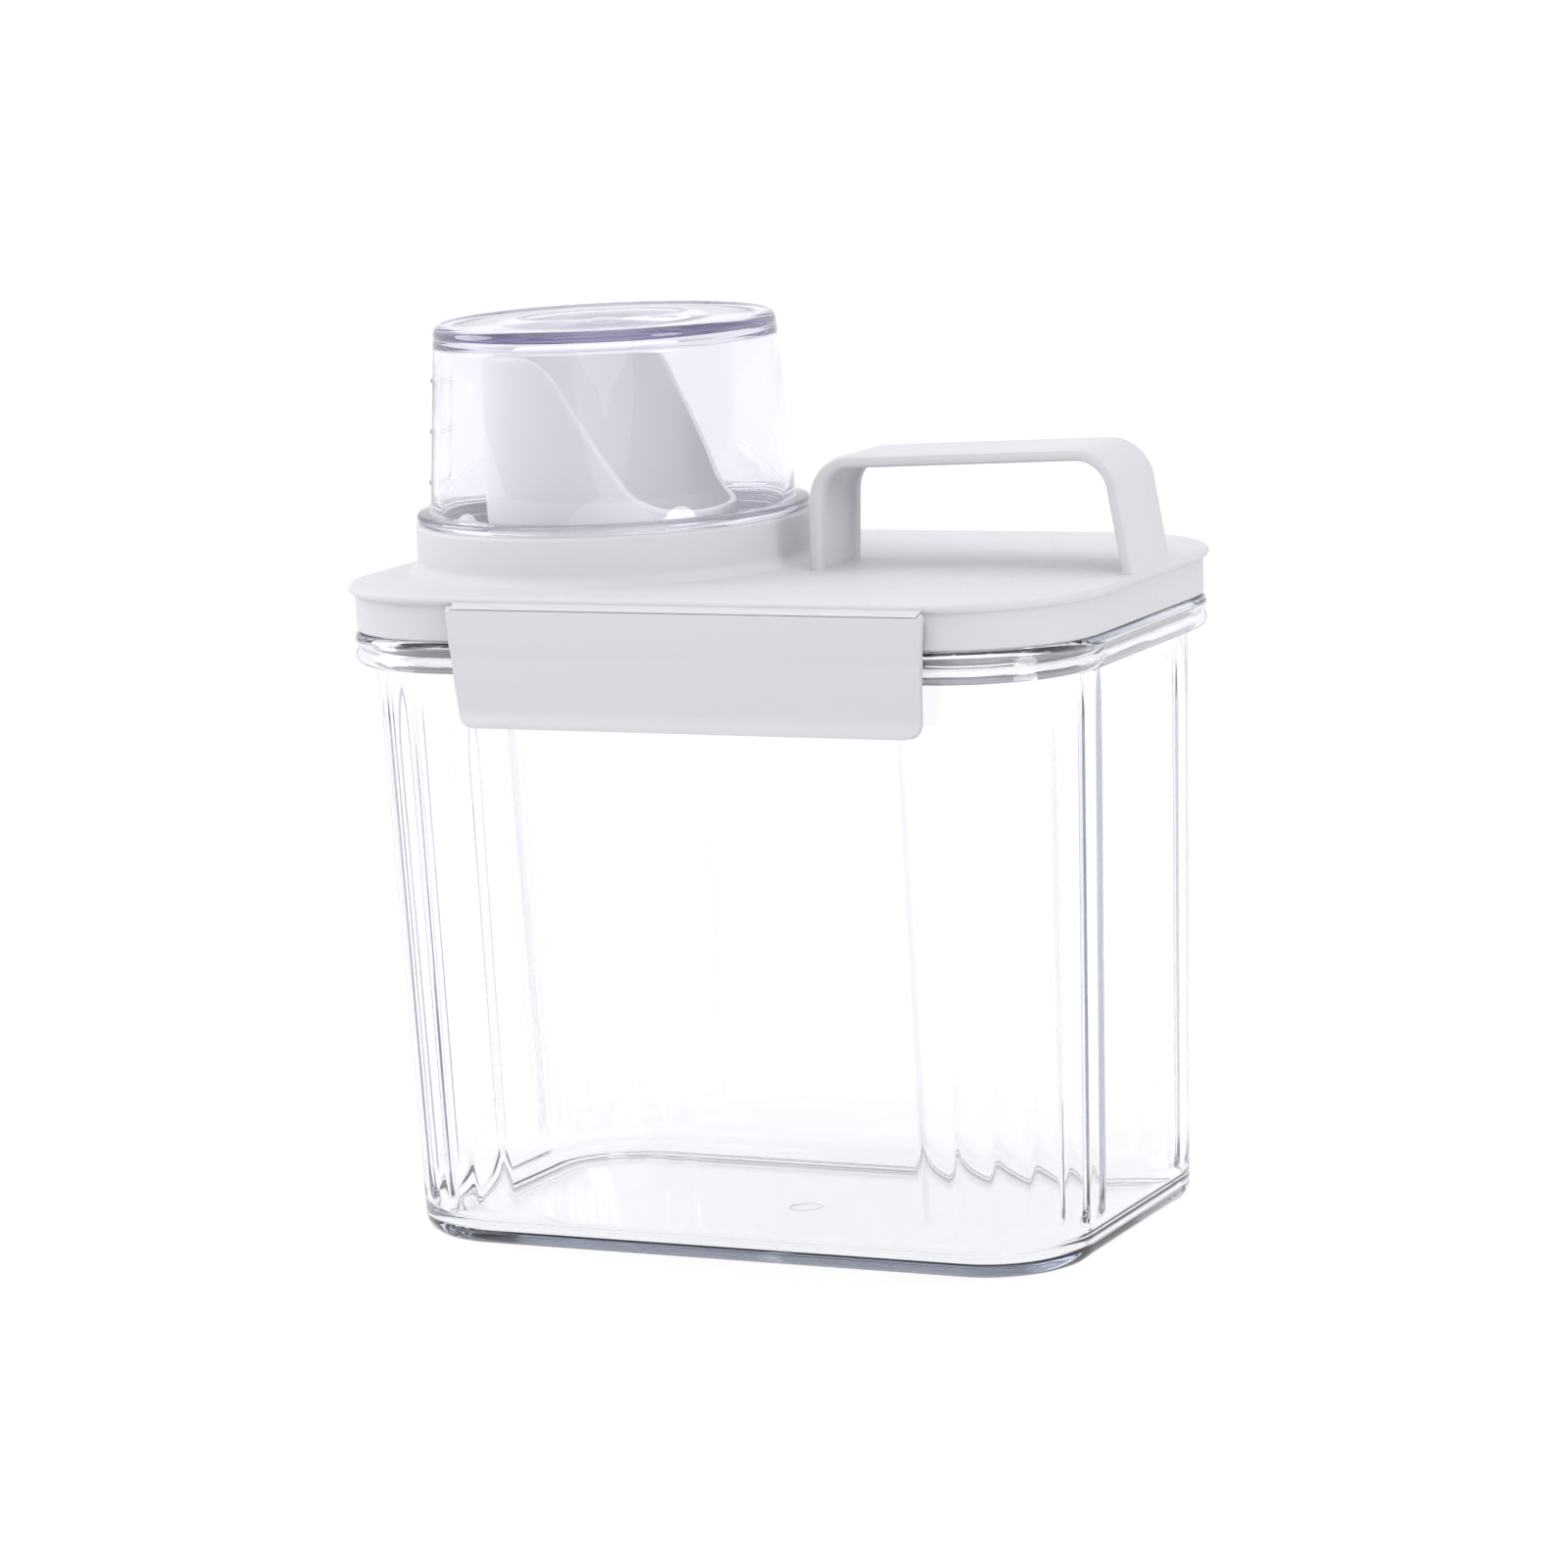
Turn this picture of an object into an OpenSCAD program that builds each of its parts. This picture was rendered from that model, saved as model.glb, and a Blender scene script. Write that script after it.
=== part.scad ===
// Dispenser for laundry powder: a clear drafted box with a beaded rim, a lid with
// a carrying handle and a pouring spout, a measuring cup that caps the spout, and
// two side latches. Base centre at the origin, long axis along X, front at -Y.

/* [Overall] */
// Length of the lid's brim along X
brim_length = 170; // [164:1:200]
// Depth of the lid's brim along Y
brim_depth = 110; // [106:1:126]
// Height of the brim's lower edge above the surface it stands on
brim_height = 137.8; // [110:0.1:180]
// Radius of the brim's corners in plan
corner_radius = 30; // [28:0.5:33]

/* [Container] */
// Draft of the walls, in degrees
wall_draft = 1.85; // [0.5:0.05:2.2]
// Thickness of the walls
wall = 2; // [1.8:0.1:2.4]
// Thickness of the floor
floor_thick = 2.6; // [2.2:0.1:4]
// Radius round the outer bottom edge
foot_radius = 4; // [2.5:0.5:5]
// Radius where the floor runs into the walls
floor_radius = 5; // [3:0.5:7]
// Depth of the hollow under the floor that leaves a foot ring
foot_hollow = 0.8; // [0.4:0.1:1.2]
// Width of the foot ring
foot_width = 5; // [3:0.5:8]
// Distance from the brim's edge in to the neck
neck_inset = 4.8; // [4.6:0.1:5.4]
// Height of the neck's top under the lid plate
neck_gap = 2.8; // [2:0.1:4]
// Radius of each of the two rim beads
bead_radius = 1.7; // [1.5:0.05:1.75]
// Distance between the centres of the two beads
bead_pitch = 3.3; // [2.9:0.05:3.4]
// Distance from the brim's edge in to the beads
bead_inset = 0.8; // [0.6:0.1:1.2]
// Thickness of the web that carries the beads
bead_web = 2.4; // [1.6:0.1:3]
// Scallops round each corner arc, on the inside
scallops = 4; // [3:1:5]
// Depth of a scallop
scallop_depth = 0.5; // [0.3:0.05:0.6]

/* [Lid] */
// Thickness of the lid plate
plate = 2; // [1.8:0.1:2.6]
// Distance from the brim's edge in to the skirt
skirt_inset = 1.3; // [1.1:0.1:1.6]
// Thickness of the skirt
skirt_wall = 1.7; // [1.4:0.1:1.9]
// Height of the skirt below the brim
skirt_height = 7.6; // [6.6:0.1:9]
// Clearance between the skirt and the upper bead
skirt_gap = 0.3; // [0.2:0.05:0.4]
// Depth of the plug ring that reaches into the neck
plug_depth = 10.8; // [9:0.1:13]
// Thickness of the plug ring
plug_wall = 2.3; // [2:0.1:2.8]
// Clearance between the plug ring and the neck
plug_gap = 0.9; // [0.7:0.05:1.2]
// Height of the seal and of its groove
seal_height = 2.8; // [2.2:0.1:3.2]
// Depth of the seal's groove
seal_groove = 1.1; // [0.8:0.1:1.3]
// Clearance between the seal's lips and the neck
seal_fit = 0.1; // [0.05:0.01:0.2]

/* [Collar and spout] */
// Centre of the collar along X
spout_x = -38; // [-40:0.5:-32]
// Outer radius of the collar
collar_radius = 42.2; // [40:0.1:43]
// Thickness of the collar
collar_wall = 2; // [1.6:0.1:2.4]
// Height of the collar above the lid plate
collar_height = 10.4; // [8:0.1:14]
// Radius of the fillet round the collar's foot
collar_fillet = 2.5; // [1:0.1:3.2]
// Outer radius of the spout at its mouth
spout_radius = 26.4; // [24:0.1:28]
// Height of the spout above the lid plate
spout_height = 46.4; // [38:0.1:54]
// Thickness of the spout's wall
spout_wall = 1.6; // [1.2:0.1:2]
// Widening of the spout's radius from mouth to flange
spout_flare = 0.8; // [0:0.1:1.2]
// Slope of the pouring cut, in degrees from level
cut_slope = 61; // [50:1:70]
// Radius at the top of the pouring cut
cut_shoulder = 13; // [6:1:16]
// Radius at the foot of the pouring cut
cut_foot = 15; // [8:1:18]
// Height of the low side of the spout above the lid plate
cut_level = 11; // [9:0.5:16]
// Clearance between the spout's snap ring and its hole
spout_gap = 0.3; // [0.2:0.05:0.4]

/* [Handle] */
// Width of the strap along Y
strap_width = 21; // [15:0.5:24]
// Thickness of the strap
strap_thick = 2.7; // [2.6:0.1:4]
// Depth of the hollow along the strap's inner side
strap_hollow = 1; // [0.6:0.1:1.2]
// Outer radius of the strap's two bends
strap_bend = 9.4; // [8:0.2:12]
// Outer face of the inner leg along X
handle_start = 12; // [10:0.5:16]
// Outer face of the outer leg, in from the brim's end
handle_end = 0.4; // [0.4:0.1:4]
// Height of the left end of the grip above the lid plate
handle_height = 24; // [22:0.2:34]
// Rise of the grip towards the end of the lid, in degrees
grip_rise = 2; // [0:0.1:4]
// Outward splay of the inner leg, in degrees
inner_splay = 3; // [0:0.5:6]
// Outward splay of the outer leg, in degrees
outer_splay = 9; // [0:0.5:10]

/* [Measuring cup] */
// Outer radius of the cup's base
cup_base_radius = 36.2; // [34:0.1:37]
// Outer radius of the cup's wall at its rim
cup_rim_radius = 38.9; // [38.5:0.1:39.4]
// Height of the cup above the collar
cup_height = 41.8; // [34:0.1:52]
// Thickness of the cup's wall
cup_wall = 1.7; // [1.4:0.1:2.2]
// Thickness of the cup's base
cup_base = 2.6; // [2:0.1:4]
// Radius round the edge of the base
cup_edge = 2; // [1:0.1:2.5]
// Thickness of the rim flange
cup_flange = 1.9; // [1.5:0.1:2.4]
// Reach of the rim flange beyond the wall
flange_reach = 3; // [2.8:0.1:3.3]
// Depth of the lip that plugs into the collar
cup_lip = 5; // [4:0.1:6]
// Clearance between the lip and the collar, and under the flange
cup_gap = 0.5; // [0.4:0.05:0.6]
// Measuring marks on the side of the cup
marks = 3; // [1:1:4]

/* [Latches] */
// Width of a latch where it hangs from the brim
latch_width = 107; // [80:1:108]
// Offset of both latches from the middle towards the handle
latch_shift = 4.5; // [0:0.5:5]
// Height of a latch
latch_height = 25; // [24:0.5:30]
// Thickness of a latch
latch_thick = 1.7; // [1.5:0.05:1.8]
// Amount by which each side of a latch tapers
latch_taper = 1.6; // [0:0.1:3]
// Radius of a latch's lower corners
latch_corner = 3.5; // [2:0.5:6]
// Depth by which the hooks reach under the beads
hook_reach = 1.8; // [1.2:0.1:2.2]
// Number of hooks on a latch
hooks = 3; // [2:1:4]
// Clearance between the hooks and the lower bead
hook_gap = 0.4; // [0.3:0.05:0.6]
// Radial clearance of the hinge bead in its seat
hinge_fit = 0.07; // [0.03:0.01:0.1]

/* [Hidden] */
$fn = 64;
eps = 0.01;
clear_tint = [0.84, 0.88, 0.94, 0.45];
cup_tint = [0.66, 0.62, 0.80, 0.55];
white_lid = [0.90, 0.90, 0.92];
white_spout = [0.94, 0.94, 0.95];
seal_tint = [0.80, 0.81, 0.83];

// Corner centres of the plan: every level is a rounded rectangle about these four
corner_x = brim_length / 2 - corner_radius;
corner_y = brim_depth / 2 - corner_radius;

// Distances outward from the corner centres
r_brim = corner_radius;
r_skirt = r_brim - skirt_inset;
r_neck = r_brim - neck_inset;
r_bore = r_neck - wall;
r_bead = r_brim - bead_inset - bead_radius;
r_plug = r_bore - plug_gap;

// Heights
z_brim = brim_height;
z_plate = z_brim + plate;
z_skirt = z_brim - skirt_height;
z_bead_top = z_skirt - skirt_gap;
z_bead2 = z_bead_top - bead_radius;
z_bead1 = z_bead2 - bead_pitch;
z_bead_low = z_bead1 - bead_radius;
z_web = (z_bead1 + z_bead2) / 2;
z_shoulder = z_web - bead_web / 2;
z_neck = z_brim - neck_gap;
z_plug = z_brim - plug_depth;
z_groove = z_plug + (z_neck - z_plug - seal_height) / 2;
z_collar = z_plate + collar_height;
z_flange = z_collar + cup_gap / 2;
z_cup = z_collar + cup_height;

// Wall slope, and the corner radius of the plan at the foot of the walls
slope = tan(wall_draft);
r_foot = r_neck - z_shoulder * slope;

// Hinge axis of each latch, from the middle of the lid
hinge_r = latch_thick / 2;
hinge_y = brim_depth / 2 + hinge_r;
hinge_z = z_brim - hinge_r;

// Sweeps a section, drawn as (distance from the corner centres, height), round the plan
module sweep_plan() {
    for (side = [0, 1]) rotate(180 * side) {
        translate([corner_x, corner_y, 0])
            rotate_extrude(angle = 90) children();
        translate([-corner_x, corner_y, 0])
            rotate(90) rotate_extrude(angle = 90) children();
        translate([-corner_x, corner_y, 0])
            rotate([90, 0, 90]) linear_extrude(2 * corner_x) children();
        translate([corner_x, corner_y, 0])
            rotate([90, 0, 0]) linear_extrude(2 * corner_y) children();
    }
}

// Fills the rectangle between the corner centres from one height to another
module core(z0, z1) {
    translate([-corner_x, -corner_y, z0])
        cube([2 * corner_x, 2 * corner_y, z1 - z0]);
}

// Section of a hollow with a drafted wall, a vertical top and a rounded foot
module drafted_section(r_low, r_top, z_low, z_bend, z_top, fillet) {
    fx = r_low + (fillet + z_low) * slope - fillet / cos(wall_draft);
    polygon([
        [0, z_low],
        [fx, z_low],
        [fx + fillet * cos(wall_draft), z_low + fillet - fillet * sin(wall_draft)],
        [r_top, z_bend],
        [r_top, z_top],
        [0, z_top]
    ]);
    translate([fx, z_low + fillet]) circle(fillet);
}

module container_section() {
    difference() {
        union() {
            drafted_section(r_foot, r_neck, 0, z_shoulder, z_neck - wall / 2, foot_radius);
            for (z = [z_bead1, z_bead2])
                translate([r_bead, z]) circle(bead_radius);
            translate([r_neck - wall / 2, z_shoulder])
                square([r_bead - r_neck + wall / 2, bead_web]);
        }
        drafted_section(r_foot - wall, r_bore, floor_thick, z_shoulder, z_neck + 1, floor_radius);
        translate([-1, -1])
            square([r_foot - foot_width + 1, foot_hollow + 1]);
    }
    // full round on top of the neck
    translate([r_neck - wall / 2, z_neck - wall / 2]) circle(wall / 2);
}

// One upright scallop that runs out at its foot, its deepest line at the given distance:
// only the sector that cuts the wall, so that neighbours stay apart
module scallop(reach, radius, half) {
    low = floor_thick + floor_radius - 0.6;
    high = (z_shoulder - low) / cos(wall_draft);
    spread = asin(half / radius) + 2;
    translate([reach + low * slope - radius, 0, low])
        rotate([0, wall_draft, 0]) rotate(-spread)
            rotate_extrude(angle = 2 * spread) polygon([
                [0, 0],
                [radius - 2 * scallop_depth, 0],
                [radius, 8 * scallop_depth],
                [radius, high],
                [0, high]
            ]);
}

// Scallops round one corner of the inside, and one on each side next to it
module corner_scallops() {
    reach = r_foot - wall + scallop_depth;
    pitch = 90 / scallops;
    land = 0.85;
    half = land * reach * sin(pitch / 2);
    round_r = 1 / (1 / reach + 2 * scallop_depth / (half * half));
    flat_r = half * half / (2 * scallop_depth);
    for (i = [0 : scallops - 1])
        rotate(pitch * (i + 0.5)) scallop(reach, round_r, half);
    translate([0, -half / land, 0]) scallop(reach, flat_r, half);
    rotate(90) translate([0, half / land, 0]) scallop(reach, flat_r, half);
}

module container() {
    color(clear_tint)
    difference() {
        union() {
            sweep_plan() container_section();
            core(foot_hollow, floor_thick);
        }
        for (side = [0, 1]) rotate(180 * side) {
            translate([corner_x, corner_y, 0]) corner_scallops();
            mirror([1, 0, 0]) translate([corner_x, corner_y, 0]) corner_scallops();
        }
    }
}

module lid_section() {
    nose = plate / 2;
    translate([0, z_brim]) square([r_brim - nose, plate]);
    translate([r_brim - nose, z_brim + nose]) circle(nose);
    // skirt, with its lower edge eased on the inside
    polygon([
        [r_skirt, z_brim + nose],
        [r_skirt, z_skirt],
        [r_skirt - skirt_wall + 0.5, z_skirt],
        [r_skirt - skirt_wall, z_skirt + 0.8],
        [r_skirt - skirt_wall, z_brim + nose]
    ]);
    // plug ring with the seal's groove and a lead-in at its foot
    difference() {
        polygon([
            [r_plug, z_brim + nose],
            [r_plug, z_plug + 0.8],
            [r_plug - 0.6, z_plug],
            [r_plug - plug_wall, z_plug],
            [r_plug - plug_wall, z_brim + nose]
        ]);
        translate([r_plug - seal_groove, z_groove]) square([seal_groove + 1, seal_height]);
    }
}

module collar_section() {
    inner = collar_radius - collar_wall;
    top = collar_wall / 2;
    translate([inner, z_plate - plate / 2])
        square([collar_wall, z_collar - z_plate + plate / 2 - top]);
    translate([inner + top, z_collar - top]) circle(top);
    difference() {
        translate([collar_radius - eps, z_plate - eps])
            square([collar_fillet + eps, collar_fillet + eps]);
        translate([collar_radius + collar_fillet, z_plate + collar_fillet])
            circle(collar_fillet);
    }
}

// Seat of a latch's hinge bead, under the nose of the brim
module hinge_seat() {
    y0 = corner_y + r_skirt - skirt_wall / 2;
    edge = brim_depth / 2;
    length = latch_width - 2;
    translate([-length / 2, 0, 0]) rotate([90, 0, 90]) linear_extrude(length)
        difference() {
            polygon([
                [y0, hinge_z - 1.1],
                [edge - 0.3, hinge_z - 1.1],
                [edge - 0.3, hinge_z],
                [edge + 0.5, hinge_z + 0.05],
                [edge + 0.5, hinge_z + hinge_r + 0.1],
                [edge - 0.1, z_brim + plate * 0.4],
                [y0, z_brim + plate * 0.4]
            ]);
            translate([hinge_y, hinge_z]) circle(hinge_r + hinge_fit);
        }
}

// Side view of the arch, each outline moved inward by the same inset all round
module arch_side(inset, sink) {
    r = strap_bend - inset;
    end = brim_length / 2 - handle_end;
    y1 = handle_height - strap_bend;
    x1 = handle_start + strap_bend / cos(inner_splay) + y1 * tan(inner_splay);
    x2 = end - strap_bend / cos(outer_splay) - y1 * tan(outer_splay);
    grip = (x2 - x1) / (cos(grip_rise) + sin(grip_rise) * tan(outer_splay));
    left = [x1, y1];
    right = left + grip * [cos(grip_rise), sin(grip_rise)];
    up = r * [-sin(grip_rise), cos(grip_rise)];
    polygon([
        [handle_start - sink * tan(inner_splay) + inset / cos(inner_splay), -sink],
        left + r * [-cos(inner_splay), sin(inner_splay)],
        left + up,
        right + up,
        right + r * [cos(outer_splay), sin(outer_splay)],
        [end + sink * tan(outer_splay) - inset / cos(outer_splay), -sink]
    ]);
    for (c = [left, right])
        translate(c) circle(r);
}

// Arched strap of even thickness, hollowed along its inner side between two borders
module handle() {
    sink = plate * 0.6;
    border = 3;
    translate([0, 0, z_plate]) rotate([90, 0, 0]) difference() {
        translate([0, 0, -strap_width / 2])
            linear_extrude(strap_width) arch_side(0, sink);
        translate([0, 0, -strap_width])
            linear_extrude(2 * strap_width) arch_side(strap_thick, sink + 1);
        translate([0, 0, border - strap_width / 2])
            linear_extrude(strap_width - 2 * border)
                arch_side(strap_thick - strap_hollow, sink + 1);
    }
}

module lid() {
    hole = spout_radius - spout_wall + 1.2;
    color(white_lid) {
        difference() {
            union() {
                sweep_plan() lid_section();
                core(z_brim, z_plate);
                for (side = [0, 1]) translate([latch_shift, 0, 0])
                    rotate(180 * side) hinge_seat();
            }
            translate([spout_x, 0, z_brim - 1]) cylinder(h = plate + 2, r = hole);
        }
        translate([spout_x, 0, 0]) rotate_extrude() collar_section();
        handle();
    }
}

// Silicone ring in the groove of the plug, with two lips that meet the neck
module seal_ring() {
    lip = 0.55;
    back = r_plug - seal_groove;
    face = r_bore - seal_fit - lip;
    color(seal_tint) sweep_plan() {
        translate([back, z_groove]) square([face - back, seal_height]);
        for (z = [0.28, 0.72])
            translate([face, z_groove + seal_height * z]) circle(lip);
    }
}

module spout_section() {
    top = z_plate + spout_height;
    r0 = spout_radius;
    r1 = spout_radius + spout_flare;
    hole = spout_radius - spout_wall + 1.2;
    snap = hole - spout_gap;
    polygon([
        [r0 - 0.5, top],
        [r0, top - 0.5],
        [r1, z_plate + 1.5],
        [r1 + 3.6, z_plate + 1.5],
        [r1 + 3.6, z_plate],
        [snap, z_plate],
        [snap, z_brim - spout_gap],
        [snap + 1, z_brim - spout_gap],
        [snap + 1, z_brim - 1],
        [snap, z_brim - 2.4],
        [snap - 1.4, z_brim - 2.4],
        [snap - 1.4, z_plate - 0.4],
        [r1 - spout_wall, z_plate + 1.2],
        [r0 - spout_wall, top - 0.5],
        [r0 - spout_wall + 0.5, top]
    ]);
}

// Side view of what is cut from the tube: from the shoulder down the slope to the low side
module pouring_cut() {
    top = spout_height;
    nx = sin(cut_slope);
    ny = cos(cut_slope);
    line = nx * 7.4 + ny * 30;
    x1 = (line - cut_shoulder - ny * (top - cut_shoulder)) / nx;
    x2 = (line + cut_foot - ny * (cut_level + cut_foot)) / nx;
    far = 2 * collar_radius;
    // below the shoulder's arc
    difference() {
        polygon([
            [x1, top + 2],
            [x1, top - 0.02],
            [x1 + cut_shoulder * nx, top - cut_shoulder + cut_shoulder * ny],
            [far, top - cut_shoulder + cut_shoulder * ny],
            [far, top + 2]
        ]);
        translate([x1, top - cut_shoulder]) circle(cut_shoulder);
    }
    // slope and low side
    polygon([
        [x1 + cut_shoulder * nx, top - cut_shoulder + cut_shoulder * ny + eps],
        [x2 - cut_foot * nx, cut_level + cut_foot - cut_foot * ny],
        [x2, cut_level],
        [far, cut_level],
        [far, top - cut_shoulder + cut_shoulder * ny + eps]
    ]);
    translate([x2, cut_level + cut_foot]) circle(cut_foot);
}

module pour_spout() {
    reach = collar_radius;
    color(white_spout) translate([spout_x, 0, 0]) difference() {
        rotate_extrude() spout_section();
        translate([0, reach, z_plate]) rotate([90, 0, 0])
            linear_extrude(2 * reach) pouring_cut();
        // slits that let the snap ring give
        for (a = [30 : 60 : 330])
            rotate(a) translate([0, -1.2, z_brim - 6]) cube([reach, 2.4, 6 - spout_gap]);
    }
}

module cup_section() {
    top = z_cup;
    low = z_flange + cup_flange;
    lip_r = collar_radius - collar_wall - cup_gap;
    taper = (cup_rim_radius - cup_base_radius) / (top - low);
    rf = cup_flange / 2;
    flange_x = max(cup_rim_radius + flange_reach, collar_radius - 0.3) - rf;
    // outer side, with the base's edge rounded
    difference() {
        union() {
            polygon([
                [0, low],
                [cup_rim_radius, low],
                [cup_base_radius + cup_edge * taper, top - cup_edge],
                [cup_base_radius - cup_edge + cup_edge * taper, top],
                [0, top]
            ]);
            translate([cup_base_radius - cup_edge + cup_edge * taper, top - cup_edge])
                circle(cup_edge);
            translate([0, z_flange]) square([flange_x, cup_flange]);
            translate([flange_x, z_flange + rf]) circle(rf);
            translate([0, z_flange - cup_lip]) square([lip_r, cup_lip + 1]);
            // snap bead on the lip
            translate([lip_r - 0.35, z_flange - cup_lip * 0.6]) circle(0.6);
        }
        // inside, with the foot of the wall rounded
        polygon([
            [0, z_flange - cup_lip - 1],
            [lip_r - cup_wall, z_flange - cup_lip - 1],
            [lip_r - cup_wall, z_flange],
            [cup_rim_radius - cup_wall, low],
            [cup_base_radius - cup_wall + 3 * taper, top - cup_base - 3],
            [cup_base_radius - cup_wall - 3 + 3 * taper, top - cup_base],
            [0, top - cup_base]
        ]);
        translate([cup_base_radius - cup_wall - 3 + 3 * taper, top - cup_base - 3]) circle(3);
        // shallow hollow in the base that leaves a standing ring
        translate([-1, top - 0.6]) square([cup_base_radius - 4.5 + 1, 2]);
    }
}

module measuring_cup() {
    span = 26;
    step = (cup_height - cup_flange) / (marks + 0.7);
    taper = (cup_rim_radius - cup_base_radius) / (cup_height - cup_flange);
    color(cup_tint) translate([spout_x, 0, 0]) {
        rotate_extrude($fn = 96) cup_section();
        // raised measuring marks, read from the base when the cup stands upright
        for (i = [1 : marks]) {
            drop = step * i + 1;
            r = cup_base_radius + drop * taper;
            translate([0, 0, z_cup - drop]) rotate(186)
                rotate_extrude(angle = span) translate([r - 0.2, -0.45]) square([0.6, 0.9]);
        }
        // gate mark in the middle of the base
        translate([0, 0, z_cup - 0.6 - eps]) cylinder(h = 0.4, r = 2.2);
    }
}

// Side view of a latch: hinge bead, lightly stepped plate, lip at its foot
module latch_section(with_hook) {
    t = latch_thick;
    y = hinge_y - hinge_r;
    z0 = hinge_z;
    low = z_brim - latch_height;
    r = t * 0.42;
    // heights at which the plate bends: out, back in, and towards the lip
    out = z0 - latch_height * 0.256;
    nip = z0 - latch_height * 0.38;
    knee = z0 - latch_height * 0.564;
    waist = low + 3.3;
    translate([hinge_y, z0]) circle(hinge_r);
    polygon([
        [y + t, z0],
        [y + t + 0.15, out],
        [y + t - 0.25, nip],
        [y + t - 0.25, knee],
        [y + t - 0.9, waist],
        [y + t + 0.1, low + r],
        [y + t + 0.1 - 2 * r, low + r],
        [y - 0.85, waist],
        [y - 0.15, knee],
        [y - 0.15, nip],
        [y, out],
        [y, z0]
    ]);
    translate([y + t + 0.1 - r, low + r]) circle(r);
    if (with_hook) {
        top = z_bead_low - hook_gap;
        tip = corner_y + r_bead + bead_radius - hook_reach;
        polygon([
            [y + 0.6, top],
            [tip + 0.2, top],
            [tip, top - 0.5],
            [tip + 0.3, top - 1.3],
            [y - 0.4, top - 3.4],
            [y + 0.6, top - 3.8]
        ]);
    }
}

// Front view of a latch: sides that taper in and rounded lower corners
module latch_outline() {
    low = z_brim - latch_height;
    top = z_brim + 1;
    w1 = latch_width / 2;
    w0 = w1 - latch_taper;
    c = latch_corner;
    polygon([
        [-w1, top],
        [-w0, low + c],
        [-w0 + c, low],
        [w0 - c, low],
        [w0, low + c],
        [w1, top]
    ]);
    for (x = [c - w0, w0 - c])
        translate([x, low + c]) circle(c);
}

// A latch on the +Y side
module latch() {
    pitch = (latch_width - 14) / hooks;
    color(white_lid) intersection() {
        union() {
            translate([-latch_width / 2, 0, 0]) rotate([90, 0, 90])
                linear_extrude(latch_width) latch_section(false);
            for (i = [0 : hooks - 1])
                translate([pitch * (i - hooks / 2) + 2.5, 0, 0]) rotate([90, 0, 90])
                    linear_extrude(pitch - 5) latch_section(true);
        }
        translate([0, brim_depth / 2 + 6, 0]) rotate([90, 0, 0])
            linear_extrude(12) latch_outline();
    }
}

module rear_latch() {
    translate([latch_shift, 0, 0]) latch();
}

module front_latch() {
    translate([latch_shift, 0, 0]) rotate(180) latch();
}

container();
lid();
seal_ring();
pour_spout();
measuring_cup();
front_latch();
rear_latch();
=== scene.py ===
"""Laundry powder dispenser: a clear drafted box, a white lid with a handle and a pouring
spout, a violet measuring cup over the spout, and a clip latch on each long side."""
from math import atan2, cos, degrees, pi, radians, sin, sqrt, tan

import bmesh
import bpy
from mathutils import Matrix, Vector


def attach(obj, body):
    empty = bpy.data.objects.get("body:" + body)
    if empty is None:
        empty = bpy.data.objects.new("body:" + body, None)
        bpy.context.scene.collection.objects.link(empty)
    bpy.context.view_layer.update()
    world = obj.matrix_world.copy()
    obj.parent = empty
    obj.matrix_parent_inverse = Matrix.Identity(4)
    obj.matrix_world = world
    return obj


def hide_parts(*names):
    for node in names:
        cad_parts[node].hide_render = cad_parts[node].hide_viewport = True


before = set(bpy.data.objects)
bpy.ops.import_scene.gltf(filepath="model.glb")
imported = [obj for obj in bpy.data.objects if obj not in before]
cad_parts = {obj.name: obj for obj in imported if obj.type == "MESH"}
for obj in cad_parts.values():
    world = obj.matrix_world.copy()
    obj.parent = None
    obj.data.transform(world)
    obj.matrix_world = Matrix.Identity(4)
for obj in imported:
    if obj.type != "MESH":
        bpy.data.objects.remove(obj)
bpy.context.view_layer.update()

MM = 0.001

# Plan: every level is a rounded rectangle about these four corner centres, in millimetres
CORNER_X, CORNER_Y = 55.0, 25.0

# Heights: underside and top of the lid plate, foot of the skirt, shoulder of the box,
# centres of its two beads, flange and top of the cup
BRIM_Z, PLATE_Z, SKIRT_Z = 137.8, 139.8, 130.2
SHOULDER_Z = 125.35
LOW_BEAD_Z, HIGH_BEAD_Z = 124.9, 128.2
FLANGE_Z = 150.45
CUP_TOP_Z = 192.0

# Distances outward from a corner centre: neck and bore of the box, its beads, the skirt
NECK, BORE = 25.2, 23.2
BEAD_X, BEAD_RADIUS = 27.5, 1.7
SKIRT = 28.7

# Slope of the walls, and places along the length of the spout's axis and the latches' middle
DRAFT = radians(1.85)
SPOUT_X = -38.0
LATCH_X = 4.5


# Mesh helpers


def arc(centre, radius, start, end, steps):
    """Points of an arc in a section, angles in degrees from the outward direction."""
    cx, cz = centre
    span = [radians(start + (end - start) * i / steps) for i in range(steps + 1)]
    return [(cx + radius * cos(a), cz + radius * sin(a)) for a in span]


def chain(bm, points, closed):
    """A chain of edges through 3-D points in millimetres."""
    verts = [bm.verts.new(Vector(p) * MM) for p in points]
    edges = [bm.edges.new(pair) for pair in zip(verts, verts[1:])]
    if closed:
        edges.append(bm.edges.new((verts[-1], verts[0])))
    return edges


def push(bm, edges, offset):
    """Extrudes a chain along a straight way and returns the new end."""
    made = bmesh.ops.extrude_edge_only(bm, edges=edges)["geom"]
    verts = [g for g in made if isinstance(g, bmesh.types.BMVert)]
    bmesh.ops.translate(bm, verts=verts, vec=Vector(offset) * MM)
    return [g for g in made if isinstance(g, bmesh.types.BMEdge)]


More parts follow.
